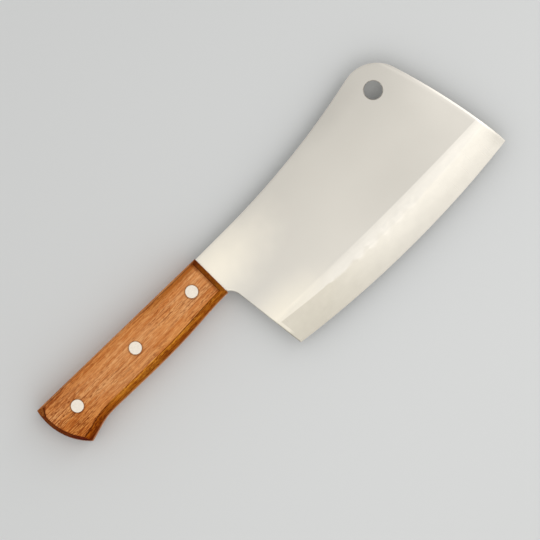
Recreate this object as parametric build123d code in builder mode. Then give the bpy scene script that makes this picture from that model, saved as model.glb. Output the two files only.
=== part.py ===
from build123d import *
from math import radians, sqrt, tan
import os

# Chinese cleaver: a ground steel plate with a full tang, two wooden scales and three cutler's rivets.
# Sizes are in millimetres. The outlines are drawn with X from the butt to the toe and Y from the
# cutting edge to the spine. Their zero is on the spine line, at the front end of the handle.

# Blade outline
blade_length = 182.5
spine_straight = 26.0
crown_setback = 23.2
crown_rise = 17.1
crown_radius = 22.0
front_bow = 3.2
heel_setback = 9.6
heel_depth = 79.9
toe_depth = 81.1
edge_bow = 5.5
neck_step = 1.3
notch_setback = 4.1
notch_height = 6.5

# Blade grind
blade_thickness = 4.5
flat_grind = 0.05
toe_thinning = 0.7
shoulder_thinning = 1.1
heel_shoulder_width = 21.3
toe_shoulder_width = 22.1
shoulder_bow = 2.1
wedge_steepness = 0.02
bevel_width = 17.0
bevel_aim = 6.0
cutting_bevel_angle = 18.0
edge_land = 0.1
rim_width = 1.2
rim_drop = 0.5
heel_softening = 1.0

# Hanging hole
hanging_hole_diameter = 11.3
hanging_hole_setback = 35.1
hanging_hole_depth = 3.5
hanging_hole_rim = 0.4

# Handle
handle_length = 132.2
handle_rise = 0.5
butt_rise = 2.5
grip_depth = 28.8
butt_radius = 38.3
butt_drop = 5.8
scale_thickness = 8.0
facet_depth = 4.0
belly_facet = 5.0
front_facet = 3.0
butt_facet = 2.2
spine_facet = 1.2
corner_facet_length = 3.4
corner_facet_drop = 5.8
corner_facet_depth = 5.2
handle_softening = 0.5

# Rivets
rivet_head_diameter = 8.0
rivet_head_height = 2.5
rivet_head_softening = 0.15
rivet_head_clearance = 0.04
rivet_tube_diameter = 5.0
rivet_tube_clearance = 0.1
rivet_shank_diameter = 3.0
rivet_shank_clearance = 0.02
rivet_shank_length = 10.0
rivet_bore_spare = 1.5
rivet_mouth_gap = 0.5
rivet_depth = 12.6

# Places along the handle, as shares of its length, from its front end
rivet_place_shares = {"front": 0.114, "middle": 0.475, "rear": 0.847}

# Lower outline of the handle: shares of its length, and of its depth at the front end. The last
# point lies past the butt, so that the curve runs out through it.
belly_shares = (
    (-0.04, 1.0),
    (0.09, 0.998),
    (0.25, 1.043),
    (0.435, 1.059),
    (0.60, 1.043),
    (0.70, 1.03),
    (0.77, 1.034),
    (0.81, 1.062),
    (0.86, 1.127),
    (0.91, 1.188),
    (0.96, 1.245),
)

# Cuts run this far past what they cut
overrun = 10.0

os.makedirs("parts", exist_ok=True)

# Heights above the outer face of the lower scale
tang_floor = scale_thickness
tang_top = tang_floor + blade_thickness
blade_middle = tang_floor + blade_thickness / 2
handle_thickness = tang_top + scale_thickness

# Corners of the blade
heel = Vector(heel_setback, -heel_depth)
toe = Vector(blade_length, -toe_depth)
crown = Vector(blade_length - crown_setback, crown_rise)
spine_end = Vector(spine_straight, 0)
neck_depth = grip_depth - handle_rise - neck_step
neck = Vector(0, -neck_depth)
notch_end = Vector(notch_setback, -neck_depth - notch_height)

# The cutting edge is one arc from heel to toe
edge_chord = toe - heel
edge_radius = (edge_chord.length ** 2 / 4 + edge_bow ** 2) / (2 * edge_bow)
edge_centre = (heel + toe) / 2 + edge_chord.normalized().rotate(Axis.Z, 90) * (edge_radius - edge_bow)


def edge_arc(start_x, end_x, outset):
    """An arc about the centre of the cutting edge, as far outside the edge as the outset says."""
    reach = edge_radius + outset
    stations = (start_x, (start_x + end_x) / 2, end_x)
    points = [(x, edge_centre.Y - sqrt(reach ** 2 - (x - edge_centre.X) ** 2)) for x in stations]
    return ThreePointArc(*points)


# Outline of the blade in front of the handle
with BuildSketch() as blade_outline:
    with BuildLine():
        Line((0, 0), spine_end)
        TangentArc(spine_end, crown, tangent=(1, 0))
        SagittaArc(crown, toe, front_bow)
        edge_line = edge_arc(toe.X, heel.X, 0)
        heel_line = Line(heel, notch_end)
        TangentArc(notch_end, neck, tangent=heel_line % 1)
        Line(neck, (0, 0))
    make_face()
    fillet(blade_outline.vertices().sort_by_distance(crown)[0], crown_radius)

# The origin of the knife is under the middle of its outline
blade_box = blade_outline.sketch.bounding_box()
middle_x = (blade_box.max.X - handle_length) / 2
middle_y = (blade_box.max.Y + blade_box.min.Y) / 2


def level(height):
    """The plane on which an outline is placed at a height."""
    return Plane(origin=(-middle_x, -middle_y, height))


# The flats run down a little from the handle to the toe, and from the spine to the shoulder. Below
# the shoulder the blade is ground to a wedge, whose plane leaves the flat along the shoulder's chord.
shoulder_depth = heel_depth - heel_shoulder_width
shoulder_slope = (toe_depth - toe_shoulder_width - shoulder_depth) / (blade_length - heel_setback)
flat_rise = blade_thickness / 2 - flat_grind
flat_along = -toe_thinning / 2 / blade_length
flat_across = shoulder_thinning / 2 / shoulder_depth
wedge_rise = flat_rise + wedge_steepness * (shoulder_depth - shoulder_slope * heel_setback)
wedge_along = flat_along + wedge_steepness * shoulder_slope
wedge_across = flat_across + wedge_steepness


def ground_plane(rise, along, across):
    """The plane at a height above the blade's middle, sloping along the knife and across it."""
    return Plane(
        origin=(-middle_x, -middle_y, blade_middle + rise),
        x_dir=(1, 0, along),
        z_dir=(-along, -across, 1),
    )


flat_plane = ground_plane(flat_rise, flat_along, flat_across)
wedge_plane = ground_plane(wedge_rise, wedge_along, wedge_across)

# Curves that the grinds follow, drawn past both ends of the edge
grind_start = heel_setback - overrun
grind_end = blade_length + overrun


def shoulder_point(x):
    """A point of the chord of the shoulder line between the flat and the wedge."""
    return Vector(x, -shoulder_depth - shoulder_slope * (x - heel_setback))


def ground_away(curve):
    """The face from a curve to past the cutting edge."""
    floor = -max(heel_depth, toe_depth) - edge_bow - bevel_aim - overrun
    with BuildSketch() as area:
        with BuildLine():
            add(curve)
            start = curve @ 0
            end = curve @ 1
            Polyline(end, (end.X, floor), (start.X, floor), start)
        make_face()
    return area.sketch


# The wedge runs from the shoulder to a bevel of even width, which aims past the edge on the middle
# plane. The cutting bevel is a steeper cone that leaves a narrow land.
steepness = tan(radians(cutting_bevel_angle))
shoulder_curve = ground_away(SagittaArc(shoulder_point(grind_end), shoulder_point(grind_start), shoulder_bow))
bevel_head = ground_away(edge_arc(grind_start, grind_end, -bevel_width))
bevel_foot = ground_away(edge_arc(grind_start, grind_end, bevel_aim))
cutting_foot = ground_away(edge_arc(grind_start, grind_end, edge_land / 2 / steepness))
cutting_head = ground_away(edge_arc(grind_start, grind_end, (edge_land - blade_thickness) / 2 / steepness))

hanging_hole = (blade_length - hanging_hole_setback, -hanging_hole_depth)
rivet_places = {
    name: (-handle_length * share, handle_rise - rivet_depth)
    for name, share in rivet_place_shares.items()
}


# Corner where the handle's spine meets the rounded butt
butt_centre = Vector(butt_radius - handle_length, -butt_drop)
butt_corner_y = handle_rise + butt_rise
butt_corner_x = butt_centre.X - sqrt(butt_radius ** 2 - (butt_corner_y - butt_centre.Y) ** 2)


def handle_spine_y(x):
    """Height of the handle's straight spine, which rises towards the butt."""
    return handle_rise + butt_rise * x / butt_corner_x


def handle_outline(front=0, belly=0, butt=0, spine=0):
    """Outline of the handle, with each side drawn in by its own amount."""
    points = [
        (-handle_length * along, handle_rise - (grip_depth - belly) * down)
        for along, down in belly_shares
    ]
    right = overrun
    left = -handle_length - overrun
    with BuildSketch() as ends:
        with Locations(butt_centre):
            Circle(butt_radius - butt)
            Rectangle(-front - butt_centre.X, 2 * (butt_radius - butt), align=(Align.MIN, Align.CENTER))
    with BuildSketch() as outline:
        with BuildLine():
            belly_line = Spline(points)
            Polyline(
                belly_line @ 1,
                (left, points[-1][1]),
                (left, handle_spine_y(left) - spine),
                (right, handle_spine_y(right) - spine),
                (right, points[0][1]),
                belly_line @ 0,
            )
        make_face()
        add(ends.sketch, mode=Mode.INTERSECT)
    return outline.sketch


handle_section = handle_outline()
scale_face_section = handle_outline(front_facet, belly_facet, butt_facet, spine_facet)

# The top corner of the butt is cut off by one small facet of its own, through three points
corner_along = Vector(corner_facet_length + butt_facet - handle_length, butt_corner_y - spine_facet)
corner_down = Vector(butt_facet - handle_length, butt_corner_y - spine_facet - corner_facet_drop)
corner_foot = Vector(butt_corner_x, butt_corner_y, -corner_facet_depth)
corner_plane = Plane(
    origin=level(handle_thickness).from_local_coords(corner_along),
    x_dir=corner_down - corner_along,
    z_dir=(corner_foot - corner_along).cross(corner_down - corner_along),
)

# Blade: half of it is ground, then mirrored, and the tang is added behind it
with BuildPart() as blade:
    with BuildSketch(level(blade_middle)):
        add(blade_outline.sketch)
    extrude(amount=blade_thickness / 2)
    split(bisect_by=flat_plane, keep=Keep.BOTTOM)
    with BuildSketch(level(blade_middle)):
        add(bevel_foot)
    with BuildSketch(wedge_plane):
        add(bevel_head)
    with BuildSketch(flat_plane):
        add(shoulder_curve)
    loft(ruled=True, mode=Mode.SUBTRACT)
    with BuildSketch(level(blade_middle)):
        add(cutting_foot)
    with BuildSketch(level(tang_top)):
        add(cutting_head)
    loft(ruled=True, mode=Mode.SUBTRACT)
    with BuildSketch(level(blade_middle)):
        with Locations(hanging_hole):
            Circle(hanging_hole_diameter / 2)
    extrude(amount=blade_thickness, mode=Mode.SUBTRACT)
    flat = blade.faces().filter_by(flat_plane)[0]
    chamfer(flat.inner_wires()[0].edges(), hanging_hole_rim)
    # Along X, the flat's outer edges are those at handle, notch and heel, and then spine and front with
    # the shoulder among them. Notch and heel are rounded, and spine, crown and front get a wide rim.
    flat = blade.faces().filter_by(flat_plane)[0]
    fillet(flat.outer_wire().edges().sort_by(Axis.X)[1:3], heel_softening)
    flat = blade.faces().filter_by(flat_plane)[0]
    rim = flat.outer_wire().edges()
    chamfer(rim.sort_by(Axis.X)[3:] - rim.sort_by(Axis.Y)[:1], rim_width, rim_drop, reference=flat)
    mirror(about=level(blade_middle))
    with BuildSketch(level(tang_floor)) as tang_outline:
        add(handle_section)
        fillet(tang_outline.vertices(), handle_softening)
        with Locations(*rivet_places.values()):
            Circle(rivet_tube_diameter / 2 + rivet_tube_clearance, mode=Mode.SUBTRACT)
    extrude(amount=blade_thickness)
blade.part.label = "blade"
export_step(blade.part, "parts/blade.step")

# Upper scale: a wall with the outline of the tang, and facets up to its flat face
facet_floor = handle_thickness - facet_depth
with BuildPart() as upper_scale:
    with BuildSketch(level(tang_top)):
        add(handle_section)
    extrude(amount=facet_floor - tang_top)
    with BuildSketch(level(facet_floor)):
        add(handle_section)
    with BuildSketch(level(handle_thickness)):
        add(scale_face_section)
    loft(ruled=True)
    split(bisect_by=corner_plane, keep=Keep.BOTTOM)
    fillet(upper_scale.edges() - upper_scale.faces().sort_by(Axis.Z)[0].edges(), handle_softening)
    with Locations(*[level(handle_thickness) * Pos(*place) for place in rivet_places.values()]):
        CounterBoreHole(
            radius=rivet_tube_diameter / 2 + rivet_tube_clearance,
            counter_bore_radius=rivet_head_diameter / 2 + rivet_head_clearance,
            counter_bore_depth=rivet_head_height,
        )
upper_scale.part.label = "upper_scale"
export_step(upper_scale.part, "parts/upper_scale.step")

# Lower scale: the mirror image on the other side of the tang
with BuildPart() as lower_scale:
    mirror(upper_scale.part, about=level(blade_middle))
lower_scale.part.label = "lower_scale"
export_step(lower_scale.part, "parts/lower_scale.step")

# Rivets: the tube of the female half passes through scales and tang, and the male half's solid
# shank is pressed down into it
tube_top = handle_thickness - rivet_head_height - rivet_mouth_gap
male_seat = handle_thickness - rivet_head_height
shank_end = male_seat - rivet_shank_length
bore_floor = shank_end - rivet_bore_spare
for name, (place_x, place_y) in rivet_places.items():
    with BuildPart() as male:
        with BuildSketch(level(male_seat)):
            with Locations((place_x, place_y)):
                Circle(rivet_head_diameter / 2)
        extrude(amount=rivet_head_height)
        chamfer(male.faces().sort_by(Axis.Z)[-1].edges(), rivet_head_softening)
        with BuildSketch(level(shank_end)):
            with Locations((place_x, place_y)):
                Circle(rivet_shank_diameter / 2)
        extrude(amount=rivet_shank_length)
    male.part.label = name + "_rivet_male"
    export_step(male.part, "parts/" + name + "_rivet_male.step")

    with BuildPart() as female:
        with BuildSketch(level(0)):
            with Locations((place_x, place_y)):
                Circle(rivet_head_diameter / 2)
        extrude(amount=rivet_head_height)
        chamfer(female.faces().sort_by(Axis.Z)[0].edges(), rivet_head_softening)
        with BuildSketch(level(rivet_head_height)):
            with Locations((place_x, place_y)):
                Circle(rivet_tube_diameter / 2)
        extrude(amount=tube_top - rivet_head_height)
        with BuildSketch(level(bore_floor)):
            with Locations((place_x, place_y)):
                Circle(rivet_shank_diameter / 2 + rivet_shank_clearance)
        extrude(amount=tube_top - bore_floor, mode=Mode.SUBTRACT)
    female.part.label = name + "_rivet_female"
    export_step(female.part, "parts/" + name + "_rivet_female.step")
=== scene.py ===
# %% [markdown]
# # A Chinese cleaver in steel, hardwood and rivet metal
# The solids of this knife come finished from CAD: a ground blade with a full tang, two wooden scales
# and three cutler's rivets. They could be modelled again here, but their sizes are right already, so
# this lesson keeps them as they are and spends its effort on what CAD has none of: ground steel,
# oiled wood, bright rivets, and soft light to see them by.

from math import pi

import bpy
from mathutils import Matrix, Vector


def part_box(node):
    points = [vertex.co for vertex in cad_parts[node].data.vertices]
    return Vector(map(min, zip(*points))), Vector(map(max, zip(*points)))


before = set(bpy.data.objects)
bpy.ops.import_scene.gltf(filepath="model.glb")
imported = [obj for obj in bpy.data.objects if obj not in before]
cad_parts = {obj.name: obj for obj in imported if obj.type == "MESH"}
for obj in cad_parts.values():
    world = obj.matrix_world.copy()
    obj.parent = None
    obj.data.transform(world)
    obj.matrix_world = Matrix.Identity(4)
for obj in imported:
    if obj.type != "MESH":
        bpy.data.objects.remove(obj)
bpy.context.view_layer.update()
print("pieces:", ", ".join(sorted(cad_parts)))

# %% [markdown]
# ## Places on the knife
# Everything is in metres, with X from the butt of the handle to the toe of the blade, Y from the
# cutting edge to the spine, and Z out of the side that is seen. Knives are drawn in millimetres from
# the front end of the handle, on the line of the spine. One small function turns such a drawing
# place into a point of the scene, so that lamps and finishes can use the cutler's own numbers.

# %% Places in the cutler's drawing
MM = 0.001
origin_x = 25.15
origin_y = -36.49


def place(x, y, z=0.0):
    """A point that the drawing gives in millimetres, in the scene's metres."""
    return Vector(((x - origin_x) * MM, (y - origin_y) * MM, z * MM))


print("the handle's front end is at", [round(v, 4) for v in place(0, 0)])

# %% [markdown]
# ## The camera
# The photograph looks straight down on the knife, with the handle at the lower left. A camera could
# be turned by angles, but naming its right and up directions is harder to get wrong. A long lens far
# away keeps the outline as flat as on a drawing. The width that fills the picture sets the lens.

# %% Camera
view_centre = place(27.3, -36.09, 12.45)
view_distance = 6.0
view_width = 0.324
sensor_width = 36.0

right = Vector((1, -1, 0)).normalized()
up = Vector((1, 1, 0)).normalized()
back = right.cross(up)
camera_data = bpy.data.cameras.new("camera")
camera_data.sensor_width = sensor_width
camera_data.lens = sensor_width * view_distance / view_width
camera_data.clip_end = 20.0
camera = bpy.data.objects.new("camera", camera_data)
turn = Matrix((right, up, back)).transposed().to_4x4()
camera.matrix_world = Matrix.Translation(view_centre + back * view_distance) @ turn
bpy.context.scene.collection.objects.link(camera)
bpy.context.scene.camera = camera
print("lens", round(camera_data.lens, 1), "mm, looking along", [round(v, 3) for v in -back])

# %% [markdown]
# ## Writing shaders as sums
# A procedural finish is a chain of nodes. Built by hand, each Math node takes several lines, and the
# idea drowns in them. So a small class wraps a node's output, and adding or multiplying such outputs
# adds the Math node for it. Every other node comes from one method, `node`, which takes the node's
# type, its settings and what goes into its sockets.

# %% Shader helper
class Wire:
    """An output socket in a node tree. Arithmetic on it adds Math nodes."""

    def __init__(self, tree, socket=None):
        self.tree = tree
        self.socket = socket

    def node(self, kind, settings=(), inputs=(), output=0):
        """Adds a node, sets it up, feeds its sockets and returns one of its outputs."""
        made = self.tree.nodes.new("ShaderNode" + kind)
        for name, value in dict(settings).items():
            setattr(made, name, value)
        for name, value in dict(inputs).items():
            if isinstance(value, Wire):
                self.tree.links.new(value.socket, made.inputs[name])
            else:
                made.inputs[name].default_value = value
        return Wire(self.tree, made.outputs[output])

    def math(self, operation, *values):
        """A Math node with its inputs in order."""
        return self.node("Math", {"operation": operation}, enumerate(values))

    def __add__(self, other):
        return self.math("ADD", self, other)

    def __radd__(self, other):
        return self.math("ADD", other, self)

    def __sub__(self, other):
        return self.math("SUBTRACT", self, other)

    def __rsub__(self, other):
        return self.math("SUBTRACT", other, self)

    def __mul__(self, other):
        return self.math("MULTIPLY", self, other)

    def __rmul__(self, other):
        return self.math("MULTIPLY", other, self)

    def __truediv__(self, other):
        return self.math("DIVIDE", self, other)

    def __rtruediv__(self, other):
        return self.math("DIVIDE", other, self)

    def __pow__(self, other):
        return self.math("POWER", self, other)

    def __rpow__(self, other):
        return self.math("POWER", other, self)

    def __abs__(self):
        return self.math("ABSOLUTE", self)


reflected = [name for name in vars(Wire) if name.startswith("__r")]
print("arithmetic works from both sides of a wire:", ", ".join(reflected))

# %% [markdown]
# ## Steps and colours
# Most of a finish is a soft border between two tones. A ramp node could hold it, but a smooth step
# takes its two ends in plain numbers and can itself be multiplied. Colours are given in a paint
# program's 0 to 255 values, and Blender wants them linear, so a function converts them.

# %% Steps and colours
def step(wire, low, high):
    """A soft step: 0 below low, 1 above high. With low above high it falls instead."""
    return wire.node(
        "MapRange",
        {"interpolation_type": "SMOOTHSTEP"},
        {"Value": wire, "From Min": low, "From Max": high},
    )


def mix(share, first, second, blend="MIX"):
    """Two colours mixed by a share from 0 to 1."""
    settings = {"data_type": "RGBA", "blend_type": blend}
    return share.node("Mix", settings, {0: share, 6: first, 7: second}, output=2)


def colour(red, green, blue):
    """A colour given in a picture's 0 to 255 values, as the linear one that shaders use."""
    parts = [v / 255 for v in (red, green, blue)]
    linear = [v / 12.92 if v < 0.04045 else ((v + 0.055) / 1.055) ** 2.4 for v in parts]
    return (*linear, 1.0)


print("a picture's middle grey is", round(colour(128, 128, 128)[0], 3), "in a shader")

# %% [markdown]
# ## Where a finish is on the part
# Steel is ground differently above and below the shoulder line, and wood is darker round a rivet. Such
# borders could be painted on an unwrapped picture of the part. Here they come from the same circles
# and places that the CAD was drawn with, so they lie exactly on its edges and need no unwrapping.

# %% Places in a shader
class Spot:
    """Where a shader is on the part, in the drawing's millimetres."""

    def __init__(self, tree):
        self.start = Wire(tree)
        raw = self.start.node("TexCoord", output="Object")
        scaled = self.start.node("VectorMath", {"operation": "SCALE"}, {0: raw, "Scale": 1 / MM})
        shift = (origin_x, origin_y, 0.0)
        self.point = self.start.node("VectorMath", {"operation": "ADD"}, {0: scaled, 1: shift})
        self.x, self.y, self.z = self.apart(self.point)
        self.facing = self.apart(self.start.node("NewGeometry", output="Normal"))

    def apart(self, vector):
        """The three numbers of a vector."""
        return [self.start.node("SeparateXYZ", inputs={0: vector}, output=i) for i in range(3)]

    def stretched(self, along, across, through):
        """The place divided by a length in each direction, for textures longer one way."""
        sizes = (1 / along, 1 / across, 1 / through)
        return self.point.node("VectorMath", {"operation": "MULTIPLY"}, {0: self.point, 1: sizes})

    def noise(self, vector, detail=2.0, roughness=0.5):
        """Cloudy noise from about 0 to 1."""
        values = {"Vector": vector, "Scale": 1.0, "Detail": detail, "Roughness": roughness}
        return self.start.node("TexNoise", inputs=values, output="Fac")

    def from_centre(self, x, y):
        """How far it is from an upright line through a place of the drawing."""
        without_z = {0: self.point, 1: (1, 1, 0)}
        flat = self.start.node("VectorMath", {"operation": "MULTIPLY"}, without_z)
        ends = {0: flat, 1: (x, y, 0)}
        return self.start.node("VectorMath", {"operation": "DISTANCE"}, ends, output="Value")

    def painted_light_patch(self, x, y, along, across):
        """1 at a place of the drawing, falling softly to 0 on an ellipse with a ragged edge: the shape
        of each painted reflection and painted shade in the steel.
        """
        sideways = (self.x - x) / along
        upwards = (self.y - y) / across
        distance = (sideways * sideways + upwards * upwards) ** 0.5
        ragged = (self.noise(self.stretched(22, 22, 22)) - 0.5) * 0.4
        return step(distance + ragged, 1.0, 0.0)


print("a spot knows", ", ".join(n for n in vars(Spot) if not n.startswith("_")))

# %% [markdown]
# ## Putting a finish on
# Each finish is one material with one Principled shader. What is even all over goes on the shader's
# own sockets. What changes from place to place is a wire that is linked to a socket. The CAD's nodes
# keep their mesh and their slots, and only what is in the slots changes.

# %% Materials
def new_finish(name, fixed):
    """A material with one Principled shader, whose even values are set on its own sockets."""
    material = bpy.data.materials.new(name)
    material.use_nodes = True
    shader = material.node_tree.nodes["Principled BSDF"]
    for socket, value in fixed.items():
        shader.inputs[socket].default_value = value
    return material, shader, Spot(material.node_tree)


def feed(shader, varying):
    """Links what varies over the surface to the shader's sockets."""
    for socket, wire in varying.items():
        wire.tree.links.new(wire.socket, shader.inputs[socket])


def wear(material, names):
    """Gives a finish to CAD nodes, in the slots that they have."""
    for name in names:
        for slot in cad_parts[name].material_slots:
            slot.material = material
    print(material.name, "on", ", ".join(names))


slots = [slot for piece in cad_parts.values() for slot in piece.material_slots]
print("the CAD's pieces have", len(slots), "slots for materials")

# %% [markdown]
# ## The curves of the grind
# The blade is ground in three steps: a long flat, a slim wedge below the shoulder line, and a bevel of
# even width that follows the cutting edge. Shoulder, edge and front are arcs of large circles. They
# could be traced and painted in, but the distance from a circle's centre tells at once on which side
# of the line a place lies, and how far from it.

# %% Circles of the grinds
def circle_through(start, end, bow):
    """Centre and radius of the arc from start to end that bows to the right by that much."""
    start, end = Vector(start), Vector(end)
    chord = end - start
    radius = (chord.length ** 2 / 4 + bow ** 2) / (2 * bow)
    across = Vector((-chord.y, chord.x)).normalized()
    return (start + end) / 2 + across * (radius - bow), radius


heel, toe, crown = (9.6, -79.9), (182.5, -81.1), (159.3, 17.1)
shoulder_rear, shoulder_front = (-0.4, -58.577), (192.5, -59.023)
edge_bow, front_bow, shoulder_bow = 5.5, 3.2, 2.1
edge_centre, edge_radius = circle_through(heel, toe, edge_bow)
front_centre, front_radius = circle_through(toe, crown, front_bow)
shoulder_centre, shoulder_radius = circle_through(shoulder_rear, shoulder_front, shoulder_bow)
print("radii of edge and shoulder:", round(edge_radius), "and", round(shoulder_radius), "mm")

# %% [markdown]
# ## Zones of the steel
# Flat, wedge and bevel are ground one after another, and each has a tone and a gloss of its own. Three
# materials would leave hard borders between them. One metal that changes from zone to zone can have
# any border, crisp or soft. This cell only measures: how far a place is from each line, how far
# forward it lies, and three noises that make the grinding uneven.

# %% Zones
steel, shader, spot = new_finish("ground_steel", {"Metallic": 1.0})
clouds = spot.noise(spot.stretched(60, 45, 45), detail=3)
smudges = spot.noise(spot.stretched(7, 4.5, 20), detail=3)
blotches = spot.noise(spot.stretched(8, 4, 20))
from_shoulder = spot.from_centre(*shoulder_centre) - shoulder_radius
from_edge = edge_radius - spot.from_centre(*edge_centre)
from_front = front_radius - spot.from_centre(*front_centre)
forward = step(spot.x, 20.0, 110.0)
toeward = step(spot.x, 100.0, 180.0)
below_shoulder = step(from_shoulder, -0.1, 0.1)
print(len(steel.node_tree.nodes), "nodes measure the zones")

# %% [markdown]
# ## The scalloped border of the bevel
# A wheel that is held by hand leaves the upper border of the bevel crisp at the heel. Further forward
# it is soft and scalloped, where the wheel was lifted again and again. The arches could be placed one
# by one, but a sine without its sign is a row of arches already, and a little noise in its swing
# keeps them from looking stamped. The lobes between them are a little brighter.

# %% Scallops
bevel_width = 17.0
scallop_length = 11.0
scallop_height = 2.4
scallop_sway = 9.0
border_sway = 5.0
mean_arch = 0.64
lobe_middle = 1.3
swing = (spot.x + (blotches - 0.5) * scallop_sway) * (pi / scallop_length)
arches = abs(swing.math("SINE", swing))
lifted = step(spot.x, 56.0, 82.0) * step(spot.x, 130.0, 112.0)
uneven = (blotches - 0.5) * step(spot.x, 25.0, 65.0) * border_sway
bend = from_edge - bevel_width + uneven + (arches - mean_arch) * lifted * scallop_height
softness = 0.3 + forward * 1.7 + lifted * 1.1
below_bend = step(bend / softness, 1.0, -1.0)
lobes = lifted * step(arches, 0.2, 0.95) * step(abs(bend - lobe_middle), 3.4, 0.6)
print("the bevel is", bevel_width, "mm wide, with a scallop every", scallop_length, "mm")

# %% [markdown]
# ## Painted reflections in the steel
# Polished metal has hardly a tone of its own: it shows the room. This blade is satin ground, each zone
# in its own direction. The bright and dark patches that it mirrors from the room are painted here into
# the metal's own level, as painted reflections and painted shade. Lamps alone could draw them, one
# for each patch, and would then be wrong from every other side. So the painted reflections go with
# the blade when it turns.

# %% Painted reflections
# Each patch is painted into the steel's level: the first three as painted reflections, brighter, the
# last three as painted shade, darker.
neck_painted_reflection = spot.painted_light_patch(0, -12, 72, 30)
heel_painted_reflection = spot.painted_light_patch(8, -60, 58, 22)
front_painted_reflection = spot.painted_light_patch(178, -30, 30, 50)
toe_painted_shade = spot.painted_light_patch(181, -76, 9, 8)
spine_painted_shade = spot.painted_light_patch(110, 10, 48, 17)
shoulder_painted_shade = spot.painted_light_patch(118, -57, 54, 30)
print(len(steel.node_tree.nodes), "nodes with the glows")

# %% [markdown]
# ## Levels of the steel
# Each zone starts from one level of brightness, partly its own tone and partly painted reflection:
# the wedge and the bevel are painted brighter towards the toe, and the bevel darker towards its edge.
# The painted reflections and painted shade of the last cell add to it or take from it. The three
# could be mixed as colours, but one number is enough for a metal, and it is easier to compare with a
# photograph. Narrow strips at the heel and along the front are painted highlights where the grinding
# ends, and the very rim of the front is painted a little darker again, as painted shade.

# %% Levels of the steel
flat_level, wedge_level, bevel_level = 0.62, 0.7, 0.53
heel_slope = 0.12
heel_line = spot.x + (spot.y - heel[1]) * heel_slope
# Painted highlights on the heel strip and the front border, painted shade on the front's very rim.
heel_painted_highlight = step(heel_line, 12.6, 11.6) * step(from_edge, 6.0, 11.0)
front_painted_highlight = step(from_front, 3.6, 1.4)
front_rim_painted_shade = step(from_front, 1.35, 1.1)

# The flat takes the painted reflections and painted shade of the patches.
flat = flat_level + neck_painted_reflection * 0.28 + heel_painted_reflection * 0.17 + front_painted_reflection * 0.07 - spine_painted_shade * 0.07
flat = flat + front_painted_highlight * 0.06 - shoulder_painted_shade * 0.045
# The wedge and the bevel are painted brighter towards the toe, and the bevel darker towards its edge:
# painted reflection.
wedge = wedge_level + toeward * 0.09
wedge = wedge + (flat - wedge) * step(from_shoulder, 3.5, 0.0) * (0.8 - forward * 0.45)
bevel = bevel_level + forward * 0.19 + toeward * 0.055
bevel = bevel - step(from_edge, 18.0, 0.0) * (0.05 + forward * 0.1)
level = flat + (wedge - flat) * below_shoulder
level = level + (bevel - level) * below_bend * (1.0 - heel_painted_highlight * 0.6)
level = level + (clouds - 0.5) * 0.05 - toe_painted_shade * 0.08 - front_rim_painted_shade * 0.07
level = level + lobes * 0.036 + (smudges - 0.5) * below_shoulder * 0.07
print("levels of flat, wedge and bevel:", flat_level, wedge_level, bevel_level)

# %% [markdown]
# ## Warmth of the steel
# Steel under soft light isn't neutral grey. It is a little warm, and warmer still where the painted
# reflections of the neck and heel lie, and in the painted reflection of the bevel, most at its rear.
# The level scales the colour with Vector Math, because a Math node would turn the colour grey.

# %% Tone of the steel
cool_steel = (1.0, 0.95, 0.855, 1.0)
warm_steel = (1.0, 0.932, 0.788, 1.0)
# The warm tint follows the painted reflections at neck and heel, and the rear of the bevel.
painted_reflection_warmth = neck_painted_reflection + heel_painted_reflection + below_bend * (1.0 - forward * 0.7)
tint = mix(painted_reflection_warmth.math("MINIMUM", painted_reflection_warmth, 1.0), cool_steel, warm_steel)
steel_tone_and_painted_light = tint.node("VectorMath", {"operation": "SCALE"}, {0: tint, "Scale": level})
print(len(steel.node_tree.nodes), "nodes lead to the tone of the steel")

# %% [markdown]
# ## Gloss of the steel
# The belt runs across the blade and leaves lines far finer than a millimetre. They could be scratched
# into the mesh, which would take millions of faces. A noise that is very short along the blade and
# very long across it gives the same sheen, by changing gloss and normal a little.

# %% Gloss of the steel
scratch_depth = 0.00001
brushing = spot.noise(spot.stretched(0.35, 40, 40), detail=3, roughness=0.7)
cutting_bevel = step(from_edge, 1.0, 0.7)
satin = 0.23 + below_bend * 0.03 + (brushing - 0.5) * 0.06 + (clouds - 0.5) * 0.05
satin = satin - cutting_bevel * 0.05
relief = {"Height": brushing, "Strength": 0.03, "Distance": scratch_depth}
scratches = spot.point.node("Bump", inputs=relief)
feed(shader, {"Base Color": steel_tone_and_painted_light, "Roughness": satin, "Normal": scratches})
wear(steel, ["blade"])

# %% [markdown]
# ## Rivet metal
# The rivet heads are set flush and polished with the wood, so they are nearly white and show only the
# finest marks. A plain white metal would look like a hole in the picture; a few grey specks and an
# uneven gloss make it metal.

# %% Rivets
rivet_metal, shader, spot = new_finish("rivet_metal", {"Metallic": 1.0})
specks = spot.noise(spot.stretched(1.2, 1.2, 3), detail=3)
turning = spot.noise(spot.stretched(0.15, 3.0, 3))
rivet_tone = mix(step(specks, 0.35, 0.75), colour(237, 228, 213), colour(230, 220, 204))
feed(shader, {"Base Color": rivet_tone, "Roughness": 0.3 + (turning - 0.5) * 0.12})
wear(rivet_metal, [name for name in sorted(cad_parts) if "rivet" in name])

# %% [markdown]
# ## Facets of the handle
# Each scale has a wide facet under the fingers, narrower ones at the front and the butt, and a small
# one that cuts off the top corner of the butt. Where a surface looks tells which facet it is, and how
# deep it lies below the outer face tells how near it is to a facet's upper border. Both come from the
# geometry, so the scale of the far side, which is a mirror image, gets the same finish.

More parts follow.
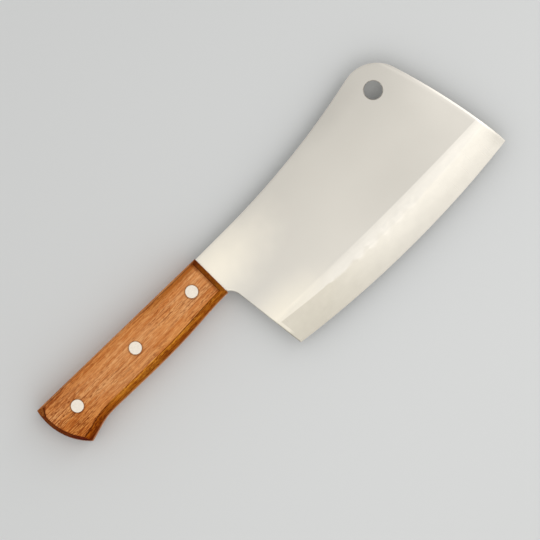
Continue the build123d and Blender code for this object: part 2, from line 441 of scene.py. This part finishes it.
# %% Facets
wood, shader, spot = new_finish("oiled_hardwood", {"Specular IOR Level": 0.02})
blade_middle = (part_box("blade")[0].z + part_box("blade")[1].z) / 2 / MM
depth = blade_middle - abs(spot.z - blade_middle)
upward = abs(spot.facing[2])
facet = step(upward, 0.97, 0.9) * step(upward, 0.1, 0.25)
front = facet * step(spot.facing[0], 0.4, 0.6)
butt = facet * step(spot.facing[0], -0.4, -0.6)
corner = butt * step(spot.facing[1], 0.26, 0.34)
belly = facet * step(spot.facing[1], -0.35, -0.5)
crease = facet * step(depth, 0.9, 0.3)
# A pale line painted on the belly's lowest rim: a painted highlight.
belly_rim_painted_highlight = belly * step(depth, 3.3, 3.9) * step(depth, 4.6, 4.1)
near_butt = step(spot.x, -95.0, -120.0)
rear_end = step(spot.x, -88.0, -110.0)
print("the scales' outer faces are", round(blade_middle, 2), "mm from the blade's middle")

# %% [markdown]
# ## Grain of the wood
# The scales are a reddish brown hardwood. A picture of wood could be wrapped round them, but a
# texture that fills space gives every facet the grain that a saw would find there. Noise that is long
# along the handle and short across it gives streaks, and several lengths of it give the growth
# layers, the fine lines and the short dark pores. In some patches the grain is faint.

# %% Grain
wander_width = 1.2
wander = (spot.noise(spot.stretched(36, 14, 14), detail=1) - 0.5) * wander_width


def grain_noise(along, across, detail):
    """Noise stretched along the grain, which wanders a little off the straight."""
    parts = {0: spot.x / along, 1: (spot.y + wander) / across, 2: spot.z / across}
    return spot.noise(spot.x.node("CombineXYZ", inputs=parts), detail=detail)


patches = step(grain_noise(34, 9, 2), 0.42, 0.6)
layers = grain_noise(50, 2.6, 2)
lines = grain_noise(14, 0.6, 2)
threads = grain_noise(2.8, 0.5, 1)
flecks = grain_noise(5, 0.9, 2)
pores = step(grain_noise(3.2, 0.34, 1), 0.52, 0.66) * step(grain_noise(30, 1.4, 1), 0.4, 0.6)
strong = 1.0 - patches * 0.5 + near_butt * 0.9 + belly * 1.2

tone = mix(step(layers, 0.3, 0.7), colour(195, 121, 64), colour(220, 158, 102))
tone = mix(step(lines, 0.45, 0.72) * strong * 0.75, tone, colour(146, 76, 32))
tone = mix(step(threads, 0.5, 0.72) * strong * 0.65, tone, colour(150, 84, 40))
tone = mix(step(flecks, 0.5, 0.75) * 0.55, tone, colour(232, 176, 118))
tone = mix(pores * strong * 0.7, tone, colour(124, 62, 26))
print(len(wood.node_tree.nodes), "nodes make the grain")

# %% [markdown]
# ## Shades of the handle
# Wood darkens where hands and oil reach it, and stays paler in the palm. Mixing in a darker brown
# would paint over the grain. Multiplying by a colour keeps the grain and darkens it, as a glaze does.
# So the long borders of the scale, the honey-coloured patches and the butt each get a glaze.

# %% Shades of the handle
def glaze(share, ground, over):
    """A colour darkened by a see-through one, by a share from 0 to 1."""
    return mix(share, ground, over, "MULTIPLY")


grip_line = -11.5
sides = step(abs(spot.y - grip_line), 4.0, 12.0)
honey = step(grain_noise(26, 7, 1), 0.4, 0.6)
palm = step(spot.x, -96.0, -86.0) * step(spot.x, -52.0, -62.0)
paler = palm * step(spot.y, -14.0, -19.0)
lower_butt = near_butt * step(spot.y, -6.0, -18.0)
tone = glaze(sides * (0.8 - paler * 0.7), tone, colour(248, 234, 210))
tone = glaze(honey * 0.5, tone, colour(255, 246, 228))
tone = glaze(lower_butt * 0.9, tone, colour(248, 234, 200))
print(len(wood.node_tree.nodes), "nodes with the shades")

# %% [markdown]
# ## Worn borders and painted shade of the flat faces
# The flat faces are darkest along their borders. A band below the spine deepens towards the blade.
# A thin line beside the facets of the butt and its corner, and a band at the front end, are painted
# shade, which carries the facets' shade a little onto the face. Where the palm closes round them
# the faces are rubbed a little paler. Blender can find borders by how pointed the mesh is, but that
# would darken every edge alike. Distances from the handle's own lines darken only these borders.

# %% Worn borders and painted shade
butt_centre, butt_radius = (-93.9, -5.8), 38.3
corner_point, corner_outward = (-125.2, 1.8), (-0.676, 0.737)
flat_face = step(upward, 0.9, 0.97)
below_spine = step(spot.y, -5.2, -1.6) * step(spot.y, 0.8, -1.0)
towards_blade = step(spot.x, -62.0, -26.0)
from_butt = butt_radius - spot.from_centre(*butt_centre)
# Painted shade beside the corner facet and at the front end, carrying the facets' shade onto the face.
beyond_x = (spot.x - corner_point[0]) * corner_outward[0]
beyond_y = (spot.y - corner_point[1]) * corner_outward[1]
painted_shade_beside_corner = step(beyond_x + beyond_y, -0.7, 0.2)
painted_shade_at_front = step(spot.x, -5.6, -3.3)

tone = glaze(below_spine * (0.22 + towards_blade * 0.73), tone, colour(207, 185, 140))
tone = mix(flat_face * paler * 0.12, tone, colour(236, 180, 122))
# Painted shade on the face beside the corner and butt facets and at the front end.
tone = glaze(flat_face * painted_shade_beside_corner * 0.9, tone, colour(150, 105, 40))
tone = glaze(flat_face * rear_end * step(from_butt, 3.1, 2.2) * 0.55, tone, colour(190, 140, 66))
tone = glaze(painted_shade_at_front * (0.6 - belly * 0.4), tone, colour(150, 114, 56))
print("the butt is an arc of", butt_radius, "mm")

# %% [markdown]
# ## Tones and painted shade of the facets
# A facet cuts through the grain at a slant and drinks more oil, so each has a darker tone of its
# own: the wide one golden, the butt nearly chestnut, the front paler at its lower end. On top of
# that each facet is darkened with painted shade, because it tilts away from the light, and the wide
# one most towards its lower rim. One dark glaze for all would be simpler, and would lose what makes
# the facets stand apart. A darker line runs along the crease where they meet the face, and the
# lowest rim of the belly gets a painted highlight, a pale line.

# %% Tones and painted shade of the facets
# Each facet's tone, darkened further with painted shade; the wide one's painted shade deepens towards
# its lower rim.
belly_tone_and_painted_shade = mix(step(depth, 0.0, 4.0), colour(255, 248, 150), colour(184, 158, 66))
butt_tone_and_painted_shade = mix(step(depth, 1.5, 3.0), colour(156, 109, 10), colour(148, 117, 80))
butt_tone_and_painted_shade = mix(step(spot.y, -21.0, -27.0), butt_tone_and_painted_shade, colour(190, 126, 10))
corner_tone_and_painted_shade = mix(step(depth, 1.4, 0.4), colour(195, 180, 156), colour(150, 105, 30))
front_tone_and_painted_shade = mix(step(spot.y, -15.0, -25.0), colour(201, 168, 72), colour(242, 238, 122))
# A darker line along the crease, stronger towards the blade and the butt, fainter in the palm.
crease_darkening = 0.3 - palm * 0.25 + step(spot.x, -60.0, -30.0) * 0.4 + near_butt * 0.4

# Each facet takes its tone and its painted shade.
tone = glaze(belly, tone, belly_tone_and_painted_shade)
tone = glaze(belly * rear_end, tone, colour(210, 184, 165))
tone = glaze(butt, tone, mix(corner, butt_tone_and_painted_shade, corner_tone_and_painted_shade))
tone = glaze(front, tone, front_tone_and_painted_shade)
tone = glaze(crease * crease_darkening, tone, colour(120, 90, 60))
# The pale line on the belly's lowest rim is a painted highlight.
tone = mix(belly_rim_painted_highlight * 0.5, tone, colour(226, 170, 130))
print(len(wood.node_tree.nodes), "nodes with the glazes")

# %% [markdown]
# ## Dirt and painted shadow round the rivets, and the wood's gloss
# Where the wood meets a rivet head there is a thin dark ring: partly dirt and polish gathered in the
# joint, and partly painted shadow, which is why each ring is shifted to be a little stronger on one
# side. Rings could be modelled, but they have no thickness, so a distance from each rivet does. The
# pores are sunk, and the oil leaves the wood soft rather than shiny.

# %% Rings and gloss
handle_length = 132.2
rivet_y = -12.1
rivet_shares = (0.114, 0.475, 0.847)
# The shift moves each dark ring a little to one side: painted shadow.
painted_shadow_shift = 0.12
ring_outside, ring_inside = 5.1, 4.3
pore_depth = 0.00008

# Each ring is partly a dark joint and partly painted shadow.
rivet_dirt_and_shadow_ring = 0.0
for share in rivet_shares:
    from_rivet = spot.from_centre(-handle_length * share - painted_shadow_shift, rivet_y - painted_shadow_shift)
    rivet_dirt_and_shadow_ring = step(from_rivet, ring_outside, ring_inside) + rivet_dirt_and_shadow_ring
tone = mix(rivet_dirt_and_shadow_ring * 0.4, tone, colour(70, 38, 20))
sheen = 0.5 - (layers - 0.5) * 0.1 + pores * 0.2
relief = {"Height": lines * 0.3 - pores, "Strength": 0.3, "Distance": pore_depth}
grain = spot.point.node("Bump", inputs=relief)
feed(shader, {"Base Color": tone, "Roughness": sheen, "Normal": grain})
wear(wood, ["upper_scale", "lower_scale"])

# %% [markdown]
# ## The floor
# The knife lies on a plain pale sheet. A box or a curved backdrop would show its own edges and bends.
# A plane is enough, as long as it is large: the low views look along it to its edge. It lies a hair
# below the handle, so that the two surfaces don't fight for the same place.

# %% Floor
floor_size = 6.0
floor_gap = 0.00005
floor_middle = (view_centre.x, view_centre.y, -floor_gap)
bpy.ops.mesh.primitive_plane_add(size=floor_size, location=floor_middle)
floor = bpy.context.object
floor.name = "floor"
floor_paint = bpy.data.materials.new("pale_floor")
floor_paint.use_nodes = True
floor_shader = floor_paint.node_tree.nodes["Principled BSDF"]
floor_shader.inputs["Base Color"].default_value = colour(206, 207, 206)
floor_shader.inputs["Roughness"].default_value = 0.9
floor.data.materials.append(floor_paint)
print("the floor is", floor_size, "m wide")

# %% [markdown]
# ## The room
# Bright metal shows what stands round it, so the room matters as much as the steel. A photographer
# would hang white cloth above the knife. Here the world itself is that cloth: brightest overhead and
# a little dimmer towards the horizon, where it meets the floor in about the same tone.

# %% Room
world = bpy.data.worlds.new("studio")
bpy.context.scene.world = world
world.use_nodes = True
backdrop = world.node_tree.nodes["Background"]
backdrop.inputs["Color"].default_value = (1, 1, 1, 1)
direction = Wire(world.node_tree).node("TexCoord", output="Generated")
rise = direction.node("SeparateXYZ", inputs={0: direction}, output=2)
horizon = 0.57
low_cloth = step(rise, 0.0, 0.25) * 0.09
high_cloth = step(rise, 0.0, 0.6) * 0.26
feed(backdrop, {"Strength": horizon + low_cloth + high_cloth})
print("the room is", world.name, "and its horizon has a brightness of", horizon)

# %% [markdown]
# ## Lamps
# Three soft sheets of light stand round the knife: a faint one overhead, one over the cutting edge
# that lights the bevel, and one beyond the toe that the front part of the blade mirrors. A sheet's
# power is worked out from its size, so that the brightness given here is what metal mirrors.

# %% Lamps
watts_per_brightness = 4.0


def sheet_light(name, at, size, brightness, aim=None):
    """A soft rectangular light. Metal that mirrors it looks brighter by that brightness."""
    data = bpy.data.lights.new(name, "AREA")
    data.shape = "RECTANGLE"
    data.size, data.size_y = size
    data.energy = brightness * watts_per_brightness * size[0] * size[1]
    made = bpy.data.objects.new(name, data)
    facing = Vector((0, 0, 1)) if aim is None else at - aim
    made.matrix_world = Matrix.Translation(at) @ facing.to_track_quat("Z", "Y").to_matrix().to_4x4()
    made.visible_camera = False
    bpy.context.scene.collection.objects.link(made)
    print(name, round(data.energy, 2), "W")


sheet_light("overhead", place(60, -220, 300), (0.8, 0.4), 0.15)
sheet_light("edge_side", place(90, -250, 420), (0.5, 0.3), 0.3)
sheet_light("front_side", place(600, -30, 420), (0.2, 0.5), 0.8, aim=place(170, -30))

# %% [markdown]
# ## Colours as they are written
# Blender's usual view softens bright tones like film. For a plain product picture the standard view
# is better, because it shows a colour as it was picked.

# %% View
bpy.context.scene.view_settings.view_transform = "Standard"
print("view transform:", bpy.context.scene.view_settings.view_transform)

# %% [markdown]
# ## The end
